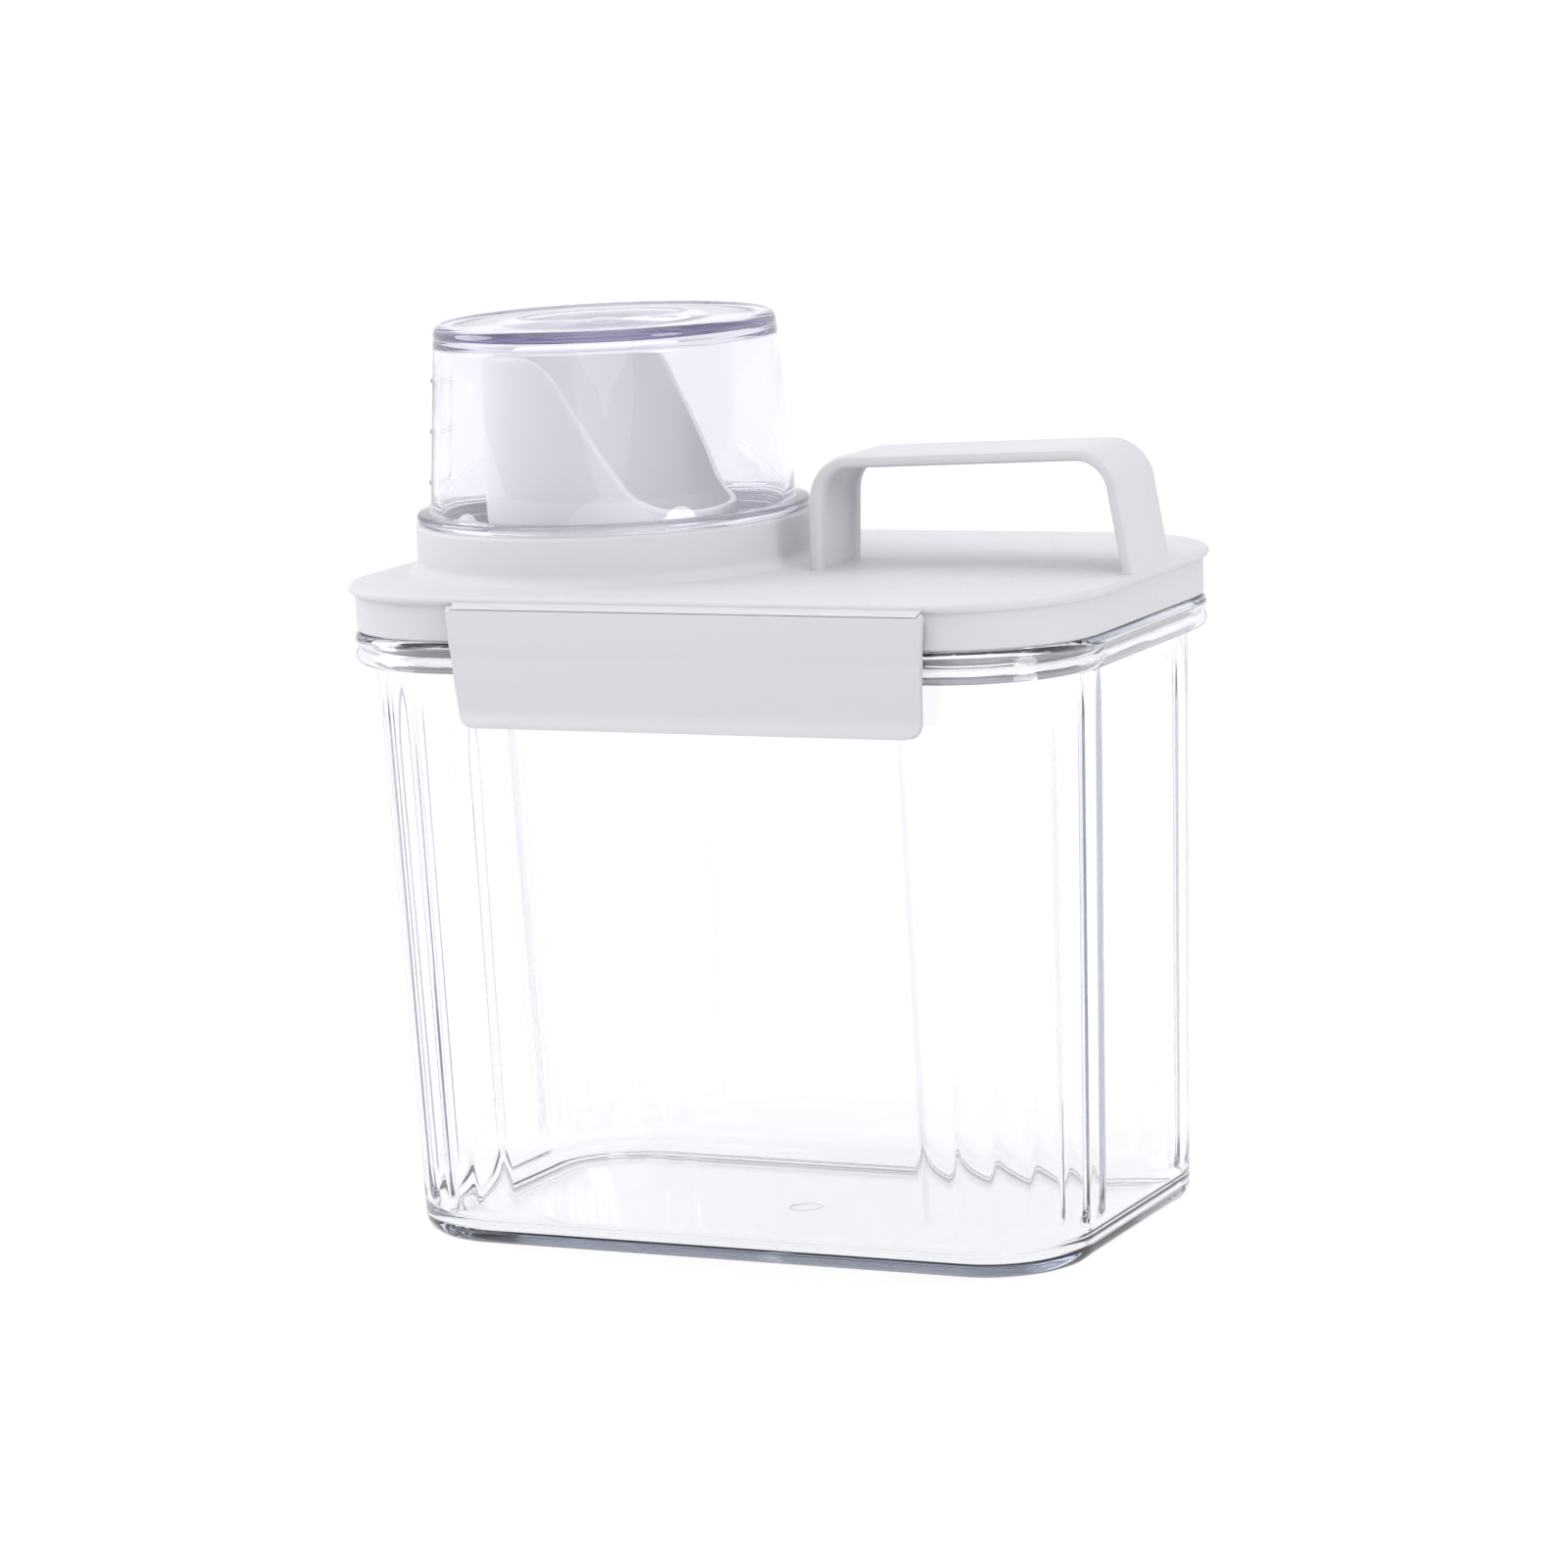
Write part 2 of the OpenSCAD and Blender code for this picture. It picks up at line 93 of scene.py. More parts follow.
def with_points(edges):
    """A chain's points, each once, and its edges."""
    return list(dict.fromkeys(v for e in edges for v in e.verts)) + edges


def turn(bm, edges, centre, axis, angle, steps):
    """Spins a chain about an axis and returns the new end."""
    made = bmesh.ops.spin(bm, geom=with_points(edges), cent=Vector(centre) * MM, axis=axis,
                          angle=angle, steps=steps, use_merge=False)["geom_last"]
    return [g for g in made if isinstance(g, bmesh.types.BMEdge)]


def sweep_plan(bm, section, closed, steps=24, stops=(1.0,)):
    """Carries a section of (outward distance, height) round the plan. The straight sides
    are cut at stops, which are shares of a side's length."""
    edges = chain(bm, [(CORNER_X + x, CORNER_Y, z) for x, z in section], closed)
    corners = [(CORNER_X, CORNER_Y), (-CORNER_X, CORNER_Y),
               (-CORNER_X, -CORNER_Y), (CORNER_X, -CORNER_Y)]
    for here, there in zip(corners, corners[1:] + corners[:1]):
        edges = turn(bm, edges, (*here, 0), (0, 0, 1), pi / 2, steps)
        side = Vector(there) - Vector(here)
        at = 0.0
        for stop in stops(side.length) if callable(stops) else stops:
            edges = push(bm, edges, (*(side * (stop - at)), 0))
            at = stop
    bmesh.ops.remove_doubles(bm, verts=bm.verts, dist=1e-6)


def revolve(bm, section, centre, steps, closed=False):
    """Spins a section of (radius, height) about an upright axis."""
    cx, cy = centre
    edges = chain(bm, [(cx + x, cy, z) for x, z in section], closed)
    bmesh.ops.spin(bm, geom=with_points(edges), cent=Vector((cx, cy, 0)) * MM,
                   axis=(0, 0, 1), angle=2 * pi, steps=steps, use_merge=True)
    bmesh.ops.remove_doubles(bm, verts=bm.verts, dist=1e-6)


def close_loops(bm):
    """Fills every open loop with one face."""
    rims = [e for e in bm.edges if e.is_boundary or e.is_wire]
    if rims:
        bmesh.ops.edgeloop_fill(bm, edges=rims)


def outward(bm):
    """Turns all faces outwards."""
    bmesh.ops.recalc_face_normals(bm, faces=bm.faces)


def piece(name, bm, material, body=None, node=None, smooth=32.0):
    """Makes an object of a finished mesh that rides on a body and stands for a node."""
    mesh = bpy.data.meshes.new(name)
    bm.to_mesh(mesh)
    bm.free()
    obj = bpy.data.objects.new(name, mesh)
    bpy.context.scene.collection.objects.link(obj)
    mesh.materials.append(material)
    shade(mesh, smooth)
    if body:
        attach(obj, body)
    if node:
        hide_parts(node)
    return obj


def shade(mesh, angle):
    """Smooth shading, broken where faces meet at more than an angle in degrees."""
    mesh.shade_smooth()
    mesh.set_sharp_from_angle(angle=radians(angle))


def joined(base, others, operation):
    """Applies boolean steps to base and removes the cutters."""
    for other in others:
        step = base.modifiers.new("step", "BOOLEAN")
        step.operation = operation
        step.solver = "MANIFOLD"
        step.object = other
        graph = bpy.context.evaluated_depsgraph_get()
        mesh = bpy.data.meshes.new_from_object(base.evaluated_get(graph))
        base.modifiers.clear()
        base.data = mesh
        bpy.data.objects.remove(other)
    return base


# Materials


def linear(hex_code):
    """sRGB hex to a linear colour."""
    def channel(c):
        c /= 255
        return c / 12.92 if c <= 0.04045 else ((c + 0.055) / 1.055) ** 2.4
    return (*(channel(int(hex_code[i:i + 2], 16)) for i in (0, 2, 4)), 1.0)


def add(tree, kind, settings=None, **links):
    """Adds a node, sets its attributes and sockets, and links its inputs."""
    node = tree.nodes.new(kind)
    for key, value in (settings or {}).items():
        if hasattr(node, key):
            setattr(node, key, value)
        else:
            node.inputs[key].default_value = value
    for key, source in links.items():
        tree.links.new(source, node.inputs[key.replace("_", " ")])
    return node


def plastic(name, colour, roughness, grain_mm, grain_depth, depth_tint=None, **shader):
    """Moulded plastic: one colour, with a faint unevenness of gloss and a faint surface
    waviness from the mould at the given size. depth_tint is the colour and density that
    a clear one takes on along its edges."""
    material = bpy.data.materials.new(name)
    material.use_nodes = True
    tree = material.node_tree
    tree.nodes.clear()
    place = add(tree, "ShaderNodeTexCoord").outputs["Object"]
    cloud = add(tree, "ShaderNodeTexNoise",
                {"Scale": 1 / (grain_mm * MM), "Detail": 1.0, "Roughness": 0.5},
                Vector=place)
    gloss = add(tree, "ShaderNodeMapRange",
                {"From Min": 0.35, "From Max": 0.65,
                 "To Min": roughness * 0.85, "To Max": roughness * 1.2},
                Value=cloud.outputs["Fac"])
    bump = add(tree, "ShaderNodeBump", {"Strength": 1.0, "Distance": grain_depth * MM},
               Height=cloud.outputs["Fac"])
    settings = {"Base Color": linear(colour)}
    settings.update({key.replace("_", " "): value for key, value in shader.items()})
    surface = add(tree, "ShaderNodeBsdfPrincipled", settings,
                  Roughness=gloss.outputs["Result"], Normal=bump.outputs["Normal"])
    out = add(tree, "ShaderNodeOutputMaterial", Surface=surface.outputs["BSDF"])
    if depth_tint:
        tint, density = depth_tint
        inside = add(tree, "ShaderNodeVolumeAbsorption",
                     {"Color": linear(tint), "Density": density})
        tree.links.new(inside.outputs["Volume"], out.inputs["Volume"])
    return material


# Crystal polystyrene, injection moulded: water-clear with a cool edge
CLEAR = plastic("crystal_polystyrene", "fefeff", 0.002, 9.0, 0.004,
                depth_tint=("a3b0c6", 16.0), IOR=1.57, Transmission_Weight=1.0)
# Violet-tinted styrene copolymer: the tint gathers in the base and along the edges
VIOLET = plastic("violet_styrene", "fdfcff", 0.002, 8.0, 0.004,
                 depth_tint=("9c94c0", 26.0), IOR=1.57, Transmission_Weight=1.0)
# White polypropylene, satin from the mould
WHITE = plastic("white_polypropylene", "d3d2d6", 0.5, 1.2, 0.003, IOR=1.49,
                Specular_IOR_Level=0.15)
# The spout's polypropylene, polished. Its base is made lighter than the lid's white: painted
# light that brightens the spout where it sits inside the cup
SPOUT_WHITE_PAINTED_LIGHT = plastic("polished_polypropylene_painted_light", "e9e8eb", 0.34, 9.0, 0.004, IOR=1.49,
                      Specular_IOR_Level=0.35)
# Silicone: soft grey-white, matt
SILICONE = plastic("silicone", "c9cbd0", 0.6, 0.8, 0.01, IOR=1.41)
# Back-lit acrylic table top: matt, and bright enough to lift its own shadows
TABLE = plastic("lit_acrylic_table", "8c8c8c", 0.8, 40.0, 0.01, IOR=1.3,
                Emission_Color=(1, 1, 1, 1), Emission_Strength=0.72)


# Container


def container():
    """The clear box: one section from the middle of the underside over the foot ring, the
    outer wall, the beads and the neck, and down the inner wall to the floor."""
    foot, inner_foot = 21.151, 19.151
    foot_arc, fillet = 4, 5
    underside, floor, rim = 0.8, 2.6, 134.0
    fx = foot + foot_arc * tan(DRAFT) - foot_arc / cos(DRAFT)
    ix = inner_foot + (floor + fillet) * tan(DRAFT) - fillet / cos(DRAFT)
    wall_in = [(BORE - (SHOULDER_Z - z) * tan(DRAFT), z)
               for z in (124.6, 120, 115, 110, 107, 100, 75, 50, 30, 16, 13, 11.5, 10, 8.8)]
    section = (
        [(1.5, underside), (15.85, underside), (16.15, 0.5), (16.15, 0.2), (16.35, 0.0)]
        + arc((fx, foot_arc), foot_arc, -90, -degrees(DRAFT), 10)
        + [(NECK - 12 * tan(DRAFT), SHOULDER_Z - 12), (NECK, SHOULDER_Z)]
        + arc((BEAD_X, LOW_BEAD_Z), BEAD_RADIUS, 164.6, 436.0, 22)
        + arc((BEAD_X, HIGH_BEAD_Z), BEAD_RADIUS, -76.0, 195.3, 22)
        + [(NECK, 127.75), (NECK, rim)]
        + arc((24.2, rim), 1.0, 15, 180, 8)
        + [(BORE, SHOULDER_Z)] + wall_in
        + arc((ix, floor + fillet), fillet, -degrees(DRAFT), -90, 12)
        + [(1.5, floor)]
    )
    bm = bmesh.new()
    near_corner = 9.4

    def stops(length):
        """Close cuts next to both corners, where the scallops run on."""
        cuts = [near_corner * i / 10 for i in range(1, 11)]
        return [c / length for c in cuts] + [1 - c / length for c in cuts[::-1][1:]] + [1.0]
    sweep_plan(bm, section, False, steps=48, stops=stops)
    close_loops(bm)
    flute_corners(bm)
    outward(bm)
    shell = piece("container_shell", bm, CLEAR)
    # gate mark under the middle of the floor
    bm = bmesh.new()
    bmesh.ops.create_cone(bm, cap_ends=True, segments=48, radius1=3.8 * MM, radius2=3.6 * MM,
                          depth=1.0 * MM, matrix=Matrix.Translation((0, 0, 0.0008)))
    joined(shell, [piece("gate", bm, CLEAR)], "DIFFERENCE")
    shade(shell.data, 40)
    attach(shell, "container")
    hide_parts("container")
    return shell


def flute_corners(bm):
    """Presses shallow scallops into the inner wall round each corner, four to an arc and
    one on each side next to it; they run out above the floor."""
    depth, count, reach = 0.8, 4, 19.651
    foot_end, top_end = 9.5, 125
    # height at which a scallop starts, height over which it fades at the top, share of
    # its sector that it takes, and reach of the test for points of the inner wall
    run_out, fade, land, near = 7.0, 18, 0.95, 0.3
    half = land * reach * sin(radians(45 / count))
    for v in bm.verts:
        x, y, z = v.co / MM
        if not foot_end < z < top_end:
            continue
        sx, sy = (1 if x > 0 else -1), (1 if y > 0 else -1)
        dx, dy = sx * x - CORNER_X, sy * y - CORNER_Y
        inner = BORE - (SHOULDER_Z - z) * tan(DRAFT)
        ramp = min(1.0, (z - run_out) / (8 * depth)) * min(1.0, (SHOULDER_Z - z) / fade)
        if dx > 0 and dy > 0:
            r = sqrt(dx * dx + dy * dy)
            if abs(r - inner) > near:
                continue
            angle = degrees(atan2(dy, dx))
            off = (angle % (90 / count)) - 45 / count
            u = radians(off) * r / half
            way = Vector((sx * dx / r, sy * dy / r, 0))
        elif dx <= 0 and abs(dy - inner) < near:
            u = (dx + half / land) / half
            way = Vector((0, sy, 0))
        elif dy <= 0 and abs(dx - inner) < near:
            u = (dy + half / land) / half
            way = Vector((sx, 0, 0))
        else:
            continue
        if abs(u) < 1:
            v.co += way * depth * ramp * (1 - u * u) * MM


# Lid


def lid():
    """The white moulding: a section of plate, brim, skirt, and plug ring with its seal
    groove carried round the plan, and the collar, handle and latch seats joined to it."""
    section = (
        [(1.5, PLATE_Z)] + arc((29.0, 138.8), 1.0, 90, -90, 10)
        + [(28.85, BRIM_Z), (SKIRT, BRIM_Z - 0.2), (SKIRT, SKIRT_Z + 0.3),
           (28.5, SKIRT_Z), (27.5, SKIRT_Z), (27.0, 131.0), (27.0, BRIM_Z),
           (22.3, BRIM_Z), (22.3, 132.4), (21.2, 132.4), (21.2, 129.6), (22.3, 129.6),
           (22.3, 127.8), (21.7, 127.0), (20.3, 127.0), (20.0, 127.3), (20.0, BRIM_Z),
           (1.5, BRIM_Z)]
    )
    bm = bmesh.new()
    sweep_plan(bm, section, False, steps=32)
    close_loops(bm)
    outward(bm)
    base = piece("lid_moulding", bm, WHITE)

    bm = bmesh.new()
    bmesh.ops.create_cone(bm, cap_ends=True, segments=96, radius1=26 * MM, radius2=26 * MM,
                          depth=6 * MM, matrix=Matrix.Translation((SPOUT_X * MM, 0, 0.1388)))
    joined(base, [piece("hole", bm, WHITE)], "DIFFERENCE")

    collar = (
        [(40.2, 138.6)] + arc((41.2, 149.2), 1.0, 180, 0, 10)
        + arc((44.9, 142.5), 2.7, 180, 270, 10) + [(44.9, 138.6)]
    )
    bm = bmesh.new()
    revolve(bm, collar, (SPOUT_X, 0), 160, closed=True)
    outward(bm)
    joined(base, [piece("collar", bm, WHITE), handle(), seat(1), seat(-1)], "UNION")
    shade(base.data, 30)
    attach(base, "lid")
    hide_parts("lid")
    return base


def handle():
    """A strap hollowed on its inner side, carried up the inner leg, along the grip and
    down the outer leg."""
    bend, thick, width, hollow, border = 9.4, 2.7, 21.0, 1.0, 3.0
    rise, inner, outer = radians(2), radians(3), radians(9)
    start, end, height, sink = 12.0, 84.6, 24.0, 0.8
    y1 = height - bend
    x1 = start + bend / cos(inner) + y1 * tan(inner)
    x2 = end - bend / cos(outer) - y1 * tan(outer)
    grip = (x2 - x1) / (cos(rise) + sin(rise) * tan(outer))
    left = Vector((x1, 0, PLATE_Z + y1))
    right = left + grip * Vector((cos(rise), 0, sin(rise)))
    w, r, q = width / 2, 1.0, 0.5
    # outline across the strap: depth in from the outer face, and place across the width
    outline = (
        [(r - r * cos(radians(a)), -w + r - r * sin(radians(a))) for a in (90, 60, 30, 0)]
        + [(r - r * cos(radians(a)), w - r + r * sin(radians(a))) for a in (0, 30, 60, 90)]
        + [(thick - r + r * sin(radians(a)), w - r + r * cos(radians(a)))
           for a in (0, 30, 60, 90)]
        + [(thick, w - border + 0.2), (thick - 0.3, w - border),
           (thick - hollow + q, w - border - 0.1), (thick - hollow, w - border - q),
           (thick - hollow, -w + border + q), (thick - hollow + q, -w + border + 0.1),
           (thick - 0.3, -w + border), (thick, -w + border - 0.2)]
        + [(thick - r + r * cos(radians(a)), -w + r - r * sin(radians(a)))
           for a in (0, 30, 60, 90)]
    )
    foot = left + Vector((-bend * cos(inner), 0, bend * sin(inner)))
    up = Vector((sin(inner), 0, cos(inner)))
    leg = (foot.z - PLATE_Z + sink) / up.z
    across = Vector((cos(inner), 0, -sin(inner)))
    bm = bmesh.new()
    first = chain(bm, [foot - up * leg + across * d + Vector((0, y, 0))
                       for d, y in outline], True)
    edges = push(bm, first, up * leg)
    edges = turn(bm, edges, left, (0, 1, 0), pi / 2 - inner - rise, 14)
    edges = push(bm, edges, right - left)
    edges = turn(bm, edges, right, (0, 1, 0), pi / 2 + rise - outer, 14)
    down = Vector((sin(outer), 0, -cos(outer)))
    last = right + bend * Vector((cos(outer), 0, sin(outer)))
    push(bm, edges, down * ((last.z - PLATE_Z + sink) / cos(outer)))
    close_loops(bm)
    outward(bm)
    return piece("handle", bm, WHITE)


def seat(side):
    """Rib under the brim's nose that holds a latch's hinge bead."""
    profile = ([(52.85, 135.85), (54.7, 135.85)]
               + arc((BRIM_Y + 0.85, HINGE_Z), 0.92, 200, 30, 10)
               + [(55.4, 137.95), (54.9, 138.6), (52.85, 138.6)])
    bm = bmesh.new()
    half = 52.5
    edges = chain(bm, [(LATCH_X - half, side * y, z) for y, z in profile], True)
    push(bm, edges, (2 * half, 0, 0))
    close_loops(bm)
    outward(bm)
    return piece("seat", bm, WHITE)


# Spout


# Height of the spout's rim above the lid plate
SPOUT_TOP = 46.4


def pouring_height(x):
    """Height above the lid plate of the spout's rim, along the length from its axis:
    top, shoulder, slope, foot and low side."""
    slope, shoulder, foot, top, low = radians(61), 13.0, 15.0, SPOUT_TOP, 11.0
    # a point that the slope goes through
    via_x, via_z = 7.4, 30
    nx, nz = sin(slope), cos(slope)
    line = nx * via_x + nz * via_z
    x1 = (line - shoulder - nz * (top - shoulder)) / nx
    x2 = (line + foot - nz * (low + foot)) / nx
    if x <= x1:
        return top
    if x < x1 + shoulder * nx:
        return top - shoulder + sqrt(max(0, shoulder ** 2 - (x - x1) ** 2))
    if x < x2 - foot * nx:
        return (line - nx * x) / nz
    if x < x2:
        return low + foot - sqrt(max(0, foot ** 2 - (x2 - x) ** 2))
    return low


def spout():
    """A tapered tube with a foot flange and a snap ring, revolved and then cut to the
    pouring height by moving the rows of its wall."""
    z0 = PLATE_Z
    low = z0 + 2.2
    top = z0 + SPOUT_TOP
    wall_top = top - 0.5
    rows, outer_foot, inner_foot, taper = 24, 27.2, 25.6, 0.8
    outer = [(outer_foot - taper * i / rows, low + (wall_top - low) * i / rows)
             for i in range(rows + 1)]
    inner = [(inner_foot - taper * i / rows, low + (wall_top - low) * i / rows)
             for i in range(rows, -1, -1)]
    section = (
        [(24.3, 135.4), (25.7, 135.4), (26.7, 136.8), (26.7, 137.5), (25.7, 137.5),
         (25.7, z0), (30.6, z0), (30.8, z0 + 0.2), (30.8, z0 + 1.2), (30.5, z0 + 1.5),
         (27.8, z0 + 1.5), (27.35, z0 + 1.7)]
        + outer
        + [(26.25, top - 0.18), (26.0, top), (25.2, top), (24.95, top - 0.18)]
        + inner
        + [(25.5, z0 + 1.2), (24.3, z0 - 0.4)]
    )
    bm = bmesh.new()
    revolve(bm, section, (SPOUT_X, 0), 192, closed=True)
    # the rim follows the pouring cut, and the rows of the wall share the height
    for v in bm.verts:
        z = v.co.z / MM
        if z > low:
            rim = pouring_height(v.co.x / MM - SPOUT_X)
            drop = top - (z0 + rim)
            share = min(1.0, (z - low) / (wall_top - low))
            v.co.z -= drop * share * MM
    outward(bm)
    return piece("pouring_spout", bm, SPOUT_WHITE_PAINTED_LIGHT, "lid", "pour_spout", 50)


# Measuring cup


def cup():
    """The measuring cup, upside down: lip and snap bead in the collar, flange on it, a
    tapered wall with three raised marks, and a base with a standing ring and a gate mark."""
    top, low = CUP_TOP_Z, FLANGE_Z + 1.9
    base_radius, mouth_radius = 36.2, 38.9
    taper = (mouth_radius - base_radius) / (top - low)
    step = (41.8 - 1.9) / 3.7
    marks = [top - (step * i + 1) for i in (3, 2, 1)]
    mark_half, mark_relief, mark_angles = 0.3, 0.35, (190, 212)
    side = []
    for m in marks:
        side += [m - 0.45, m - 0.2, m + 0.2, m + 0.45]
    wall = [(base_radius + (top - z) * taper, z) for z in side]
    section = (
        [(37.3, 145.45), (38.8, 145.45)] + arc((38.9, 147.4), 0.65, -50, 50, 6)
        + [(39.2, 148.6), (39.7, FLANGE_Z - 0.1), (39.9, FLANGE_Z)]
        + arc((40.95, FLANGE_Z + 0.95), 0.95, -90, 90, 10)
        + [(39.4, low), (39.0, low + 0.15), (38.88, low + 0.5)]
        + wall
        + arc((34.33, top - 2.0), 2.0, 3.9, 90, 8)
        + [(33.2, top - 0.03), (32.2, top - 0.16), (31.2, top - 0.38), (30.2, top - 0.54),
           (29.0, top - 0.6), (2.6, top - 0.6), (2.3, top - 0.45), (2.0, top - 0.4),
           (0.0, top - 0.4)]
    )
    inside = (
        [(0.0, top - 2.6)]
        + arc((31.7, top - 5.6), 3.0, 90, 3.9, 9)
        + [(37.2, low), (37.35, FLANGE_Z - 0.4), (37.5, 146.2)]
    )
    bm = bmesh.new()
    revolve(bm, section[::-1] + inside[::-1], (SPOUT_X, 0), 180)
    bmesh.ops.remove_doubles(bm, verts=bm.verts, dist=2e-6)
    # raised measuring marks on the left side
    for v in bm.verts:
        x, y, z = v.co / MM
        dx = x - SPOUT_X
        r = sqrt(dx * dx + y * y)
        angle = degrees(atan2(y, dx)) % 360
        outer_face = r > base_radius + (top - z) * taper - 0.2
        on_mark = any(abs(z - m) < mark_half for m in marks)
        if outer_face and on_mark and mark_angles[0] <= angle <= mark_angles[1]:
            v.co += Vector((dx / r, y / r, 0)) * mark_relief * MM
    outward(bm)
    return piece("measuring_cup_shell", bm, VIOLET, "cup", "measuring_cup", 40)


# Latches

# The brim's edge along Y, and the height of the hinge axes under it
BRIM_Y = 55.0
HINGE_Z = BRIM_Z - 0.85
# Outer face of a latch: height from the hinge axis, and distance outward from the brim's edge
LATCH_FACE = [(0.85, 0.75), (0.55, 1.2), (0.0, 1.7), (-1.5, 1.76), (-6.2, 1.85),
              (-7.4, 1.78), (-9.0, 1.5), (-10.0, 1.45), (-14.0, 1.45), (-15.2, 1.36),
              (-19.8, 0.86), (-20.8, 0.80), (-21.8, 0.98), (-23.2, 1.62), (-23.9, 1.80),
              (-24.15, 1.80)]


def latch(node, side):
    """A wide clip: a plate of even thickness that follows the face's section, with
    tapered sides, rounded lower corners, a lip at its foot and three hooks behind."""
    low, top = BRIM_Z - 25, HINGE_Z + 0.85
    # half widths at the top and at the foot, radius of the lower corners
    w1, w0, c = 53.4, 51.9, 3.5
    thick, edge_radius, sharp = 1.5, 0.35, radians(55)
    outline = ([(-w1, top), (-w0, low + c)]
               + [(c - w0 + c * cos(radians(a)), low + c + c * sin(radians(a)))
                  for a in range(190, 271, 10)]
               + [(w0 - c + c * cos(radians(a)), low + c + c * sin(radians(a)))
                  for a in range(270, 351, 10)]
               + [(w0, low + c), (w1, top)])
    bm = bmesh.new()
    chain(bm, [(x, 0, z) for x, z in outline], True)
    close_loops(bm)
    for drop, _ in LATCH_FACE[1:-1]:
        bmesh.ops.bisect_plane(bm, geom=bm.verts[:] + bm.edges[:] + bm.faces[:],
                               dist=1e-7, plane_co=(0, 0, (HINGE_Z + drop) * MM),
                               plane_no=(0, 0, 1))
    for v in bm.verts:
        v.co.y = (BRIM_Y + face_at(v.co.z / MM - HINGE_Z)) * MM
    bm.normal_update()
    if sum(f.normal.y for f in bm.faces) < 0:
        bmesh.ops.reverse_faces(bm, faces=bm.faces)
    bmesh.ops.solidify(bm, geom=bm.faces, thickness=thick * MM)
    outward(bm)
    rims = [e for e in bm.edges if len(e.link_faces) == 2
            and e.calc_face_angle(0) > sharp]
    bmesh.ops.bevel(bm, geom=rims, offset=edge_radius * MM, offset_type="OFFSET",
                    segments=3, profile=0.5, affect="EDGES", material=-1,
                    clamp_overlap=True)
    hooks(bm)
    if side < 0:
        bmesh.ops.rotate(bm, verts=bm.verts, cent=(0, 0, 0), matrix=Matrix.Rotation(pi, 3, "Z"))
    bmesh.ops.translate(bm, verts=bm.verts, vec=(LATCH_X * MM, 0, 0))
    outward(bm)
    return piece(node + "_clip", bm, WHITE, node, node, 32)


def face_at(drop):
    """Outward distance of the latch's face at a height from the hinge axis."""
    for (z0, y0), (z1, y1) in zip(LATCH_FACE, LATCH_FACE[1:]):
        if z0 >= drop >= z1:
            t = (z0 - drop) / (z0 - z1)
            return y0 + (y1 - y0) * t
    return LATCH_FACE[0][1] if drop > 0 else LATCH_FACE[-1][1]


def hooks(bm):
    """Three short hooks that reach under the container's lower bead."""
    reach, clearance, count = 1.8, 0.4, 3
    span, gap = 107 - 14, 5
    top = LOW_BEAD_Z - BEAD_RADIUS - clearance
    tip = CORNER_Y + BEAD_X + BEAD_RADIUS - reach
    pitch = span / count
    profile = [(55.5, top), (tip + 0.2, top), (tip, top - 0.4), (tip + 0.25, top - 1.3),
               (54.6, top - 3.4), (55.5, top - 3.8)]
    for i in range(count):
        x = pitch * (i - count / 2) + gap / 2
        edges = chain(bm, [(x, y, z) for y, z in profile], True)
        push(bm, edges, (pitch - gap, 0, 0))
    close_loops(bm)


# Stage


def stage():
    """Wide pale table, so that most views of it end in the same white."""
    radius_m = 40
    bm = bmesh.new()
    bmesh.ops.create_circle(bm, cap_ends=True, segments=96, radius=radius_m)
    piece("table_top", bm, TABLE, smooth=60)


def sun(name, azimuth, elevation, spread, strength):
    """Soft light from far off. Azimuth is counted from the front towards +X."""
    data = bpy.data.lights.new(name, "SUN")
    data.angle = radians(spread)
    data.energy = strength
    lamp = bpy.data.objects.new(name, data)
    bpy.context.scene.collection.objects.link(lamp)
    az, el = radians(azimuth), radians(elevation)
    way = Vector((sin(az) * cos(el), -cos(az) * cos(el), sin(el)))
    lamp.location = way
    lamp.rotation_euler = way.to_track_quat("Z", "Y").to_euler()


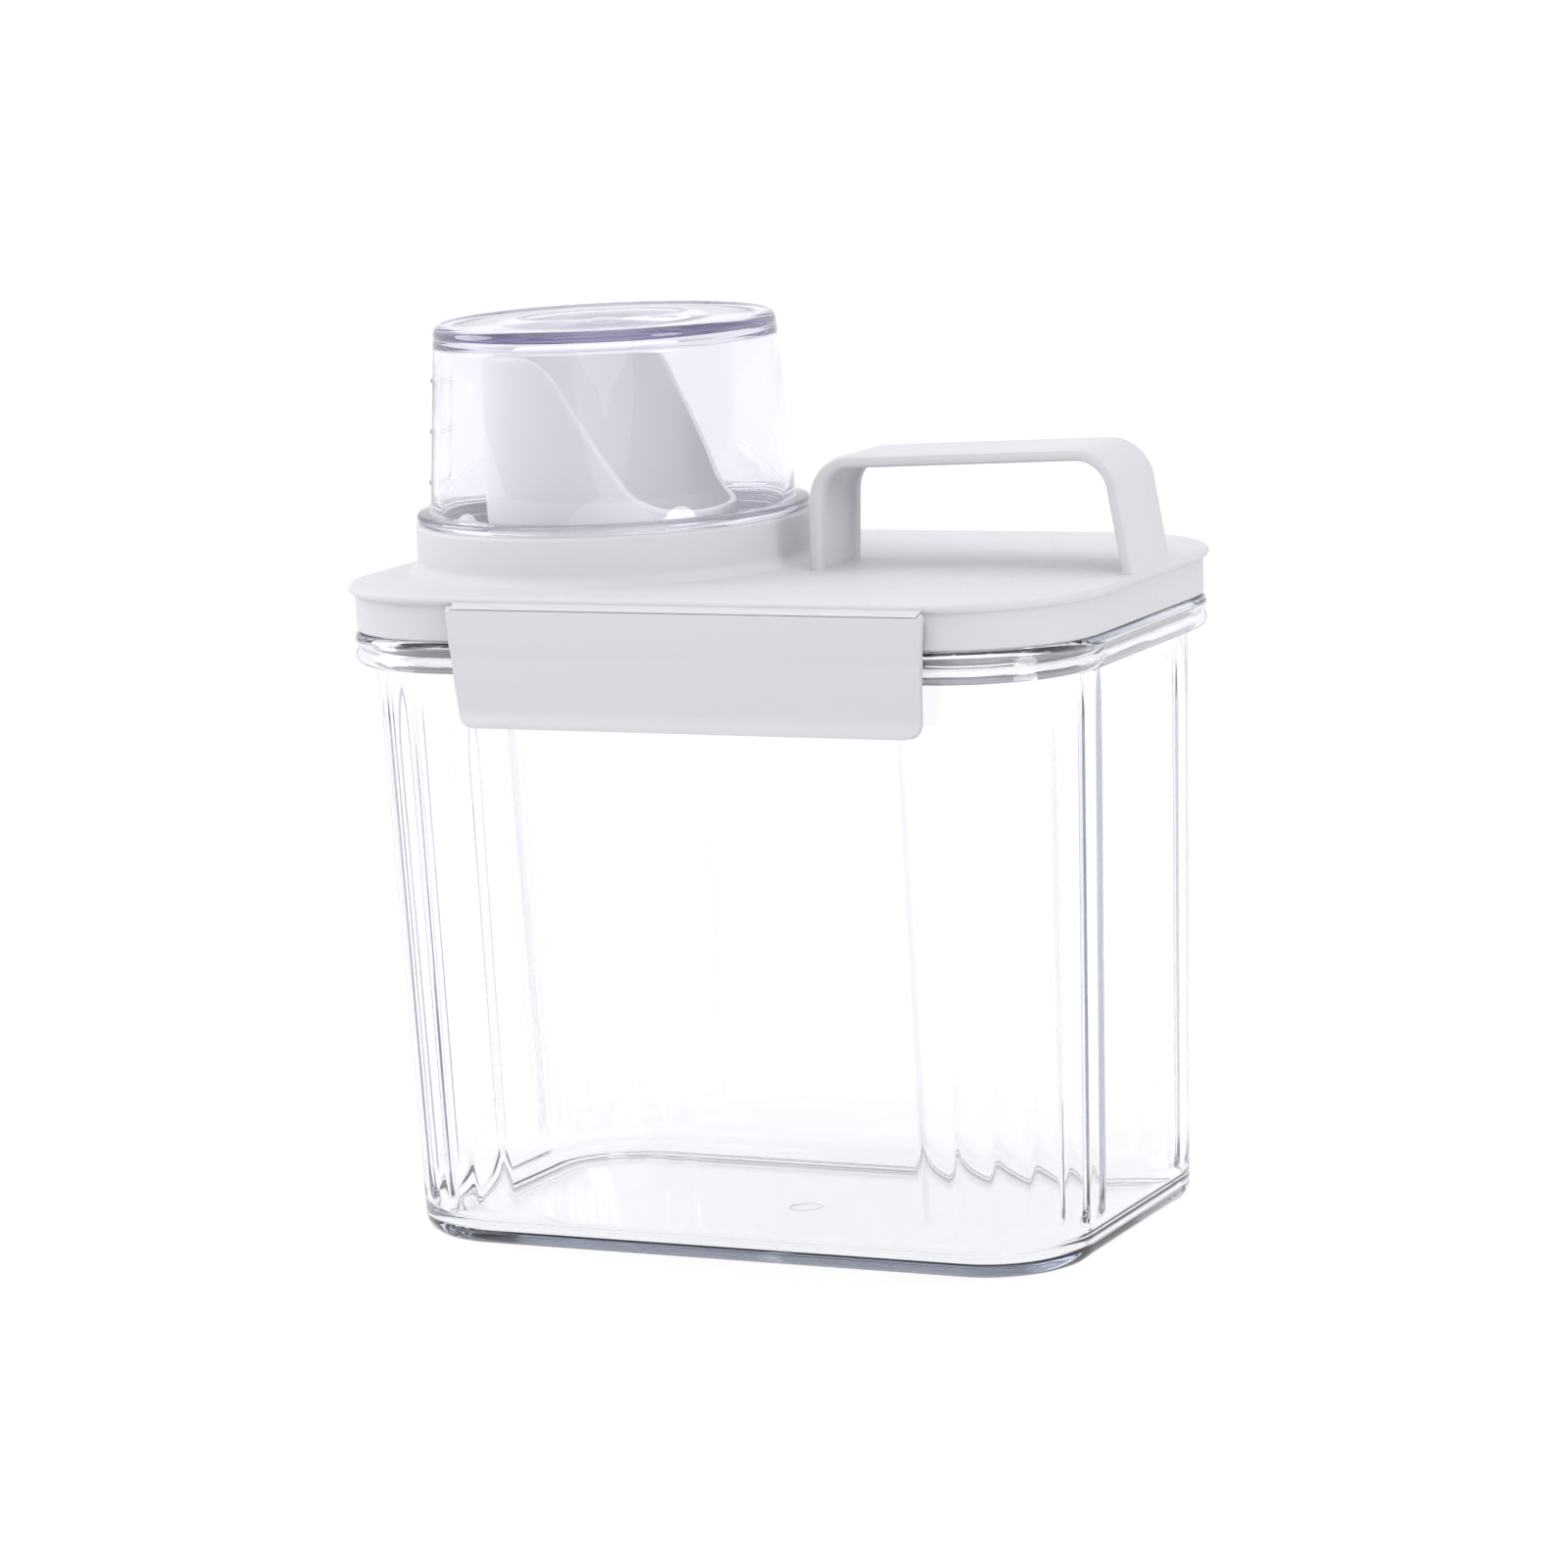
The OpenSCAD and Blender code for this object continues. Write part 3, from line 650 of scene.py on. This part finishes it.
def lights():
    """A room that is bright behind the object and dim in front of it, a broad light from
    the left, soft ones from above and from the front, and a smaller one from the right
    that draws the highlight under the brim."""
    world = bpy.data.worlds.new("studio")
    bpy.context.scene.world = world
    world.use_nodes = True
    tree = world.node_tree
    air = tree.nodes["Background"]
    air.inputs["Color"].default_value = (0.965, 0.96, 1, 1)
    way = add(tree, "ShaderNodeTexCoord").outputs["Generated"]
    along = add(tree, "ShaderNodeVectorMath", {"operation": "DOT_PRODUCT"})
    tree.links.new(way, along.inputs[0])
    along.inputs[1].default_value = (-0.43, 0.9, 0.1)
    glow = add(tree, "ShaderNodeMapRange",
               {"From Min": -0.3, "From Max": 0.6, "To Min": 0.34, "To Max": 1.05},
               Value=along.outputs["Value"])
    tree.links.new(glow.outputs["Result"], air.inputs["Strength"])
    sun("above", 0, 80, 70, 0.95)
    sun("left", -80, 22, 35, 1.35)
    sun("front", 25, 32, 60, 0.62)
    sun("right", 70, 20, 22, 0.75)


def camera():
    """The photograph's view: 26 degrees to the right of the front, 9 degrees up."""
    az, el, roll, dist = 0.4491, 0.1652, -0.0475, 1.19995
    frame_px, focal_px, sensor_mm = 1600, 5795.12, 36
    target = Vector((0, 0, 0.095))
    back = Vector((sin(az) * cos(el), -cos(az) * cos(el), sin(el)))
    right = (-back).cross(Vector((0, 0, 1))).normalized()
    up = right.cross(-back)
    side = cos(roll) * right + sin(roll) * up
    top = -sin(roll) * right + cos(roll) * up
    data = bpy.data.cameras.new("camera")
    data.sensor_width = sensor_mm
    data.lens = focal_px / frame_px * sensor_mm
    data.shift_x = -3.84 / frame_px
    data.shift_y = -11.05 / frame_px
    data.clip_start = 0.05
    obj = bpy.data.objects.new("camera", data)
    bpy.context.scene.collection.objects.link(obj)
    turn_to = Matrix((side, top, back)).transposed().to_4x4()
    obj.matrix_world = Matrix.Translation(target + back * dist) @ turn_to
    bpy.context.scene.camera = obj


camera()
stage()
lights()
box = container()
lid()
spout()
measure = cup()
# Light passes the clear walls, so they cast no shadow of their own
for clear in (box, measure):
    clear.visible_shadow = False
latch("front_latch", -1)
latch("rear_latch", 1)
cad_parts["seal_ring"].data.materials.clear()
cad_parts["seal_ring"].data.materials.append(SILICONE)

# Light goes through many walls of the clear pieces and runs on inside their edges, so it
# may turn often, and the plain pale areas stop early instead
scene = bpy.context.scene
scene.view_settings.view_transform = "Standard"
scene.cycles.caustics_reflective = False
scene.cycles.max_bounces = 28
scene.cycles.diffuse_bounces = 3
scene.cycles.glossy_bounces = 24
scene.cycles.transmission_bounces = 24
scene.cycles.adaptive_threshold = 0.05
